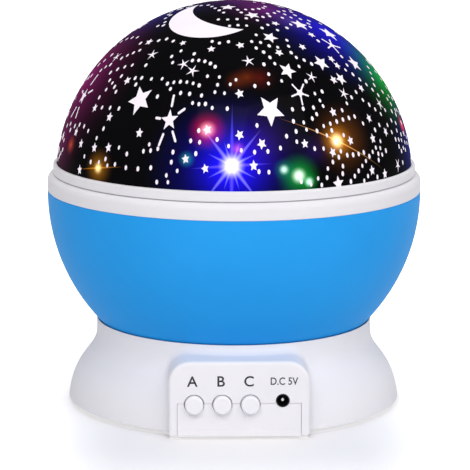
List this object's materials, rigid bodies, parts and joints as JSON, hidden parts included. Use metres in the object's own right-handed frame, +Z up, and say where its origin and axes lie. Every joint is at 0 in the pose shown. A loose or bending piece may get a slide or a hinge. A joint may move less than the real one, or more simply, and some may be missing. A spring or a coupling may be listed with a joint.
{
  "type": "star night light projector",
  "caption": "Ball-shaped night light that throws stars from a dark dome, turning on a white base with push buttons and a power socket.",
  "frame": {"origin": "on the floor, on the axis that the ball turns about, at the middle of the box round the lamp", "axes": "+Z up along the turning axis; the control panel faces -Y; +X is to the panel's right as seen from the front"},
  "size_m": [0.1306, 0.1306, 0.1408],
  "materials": {
    "shell_white": "white ABS, moulded, satin gloss",
    "bowl_blue": "sky blue ABS, moulded, satin gloss",
    "collar_white": "white ABS, moulded, gloss",
    "dome_dark": "clear polystyrene printed black but for its stars",
    "inner_white": "white polypropylene, matt",
    "button_white": "white ABS, gloss",
    "foot_rubber": "soft grey rubber",
    "screw_steel": "zinc plated steel",
    "contact_steel": "nickel plated spring steel",
    "board_green": "glass fibre board with solder mask",
    "board_white": "glass fibre board with white solder mask",
    "component_black": "black moulded component",
    "resin_black": "black potting resin",
    "pin_metal": "nickel plated pin",
    "cell_wrap": "steel cell in a plain printed sleeve",
    "motor_steel": "zinc plated can",
    "gear_nylon": "natural acetal",
    "bush_nylon": "natural acetal",
    "led_warm": "clear epoxy, warm white lamp",
    "led_red": "clear epoxy, red lamp",
    "led_green": "clear epoxy, green lamp",
    "led_blue": "clear epoxy, blue lamp",
    "lead_grey": "PVC sheath"
  },
  "bodies": {
    "base": {"base_housing": "shell_white", "bottom_cover": "shell_white", "rubber_feet": "foot_rubber", "case_screws": "screw_steel", "battery_cells": "cell_wrap", "battery_plates": "contact_steel", "battery_springs": "contact_steel", "control_board": "board_green", "control_chip": "resin_black", "tact_switches": "component_black", "dc_jack": "component_black", "jack_pin": "pin_metal", "gear_motor": "motor_steel", "motor_screws": "screw_steel", "mast": "inner_white", "mast_screws": "screw_steel", "thrust_washer": "bush_nylon", "retaining_clip": "contact_steel", "led_platform": "inner_white", "led_board": "board_white", "led_board_screws": "screw_steel", "led_warm": "led_warm", "led_red": "led_red", "led_green": "led_green", "led_blue": "led_blue", "led_lead": "lead_grey"},
    "ball": {"bowl_shell": "bowl_blue", "hub_bush": "bush_nylon", "ring_gear": "gear_nylon", "gear_screws": "screw_steel", "inner_deck": "inner_white", "deck_screws": "screw_steel", "collar": "collar_white"},
    "cover": {"dome_ring": "collar_white", "star_dome": "dome_dark"},
    "drive": {"drive_pinion": "gear_nylon", "motor_shaft": "screw_steel"},
    "key_a": {"button_a": "button_white", "switch_plunger_a": "component_black"},
    "key_b": {"button_b": "button_white", "switch_plunger_b": "component_black"},
    "key_c": {"button_c": "button_white", "switch_plunger_c": "component_black"},
    "door": {"battery_door": "shell_white", "door_screw": "screw_steel"}
  },
  "joints": [
    {"name": "ball_spin", "type": "hinge", "parent": "base", "child": "ball", "pos_m": [0, 0, 0.0238], "axis": [0, 0, 1], "continuous": true},
    {"name": "pinion_spin", "type": "hinge", "parent": "base", "child": "drive", "pos_m": [0, 0.033, 0.02], "axis": [0, 0, 1], "continuous": true},
    {"name": "cover_lift", "type": "slide", "parent": "ball", "child": "cover", "axis": [0, 0, 1], "range_m": [0, 0.09]},
    {"name": "battery_door_open", "type": "hinge", "parent": "base", "child": "door", "pos_m": [0, -0.03, 0.0008], "axis": [-1, 0, 0], "range_deg": [0, 50]},
    {"name": "button_a_press", "type": "slide", "parent": "base", "child": "key_a", "axis": [0, 1, 0], "range_m": [0, 0.0008], "stiffness_N_per_m": 400, "springref_m": -0.001},
    {"name": "button_b_press", "type": "slide", "parent": "base", "child": "key_b", "axis": [0, 1, 0], "range_m": [0, 0.0008], "stiffness_N_per_m": 400, "springref_m": -0.001},
    {"name": "button_c_press", "type": "slide", "parent": "base", "child": "key_c", "axis": [0, 1, 0], "range_m": [0, 0.0008], "stiffness_N_per_m": 400, "springref_m": -0.001}
  ],
  "couplings": [
    {"joint": "pinion_spin", "follows": "ball_spin", "ratio": -4.5}
  ]
}
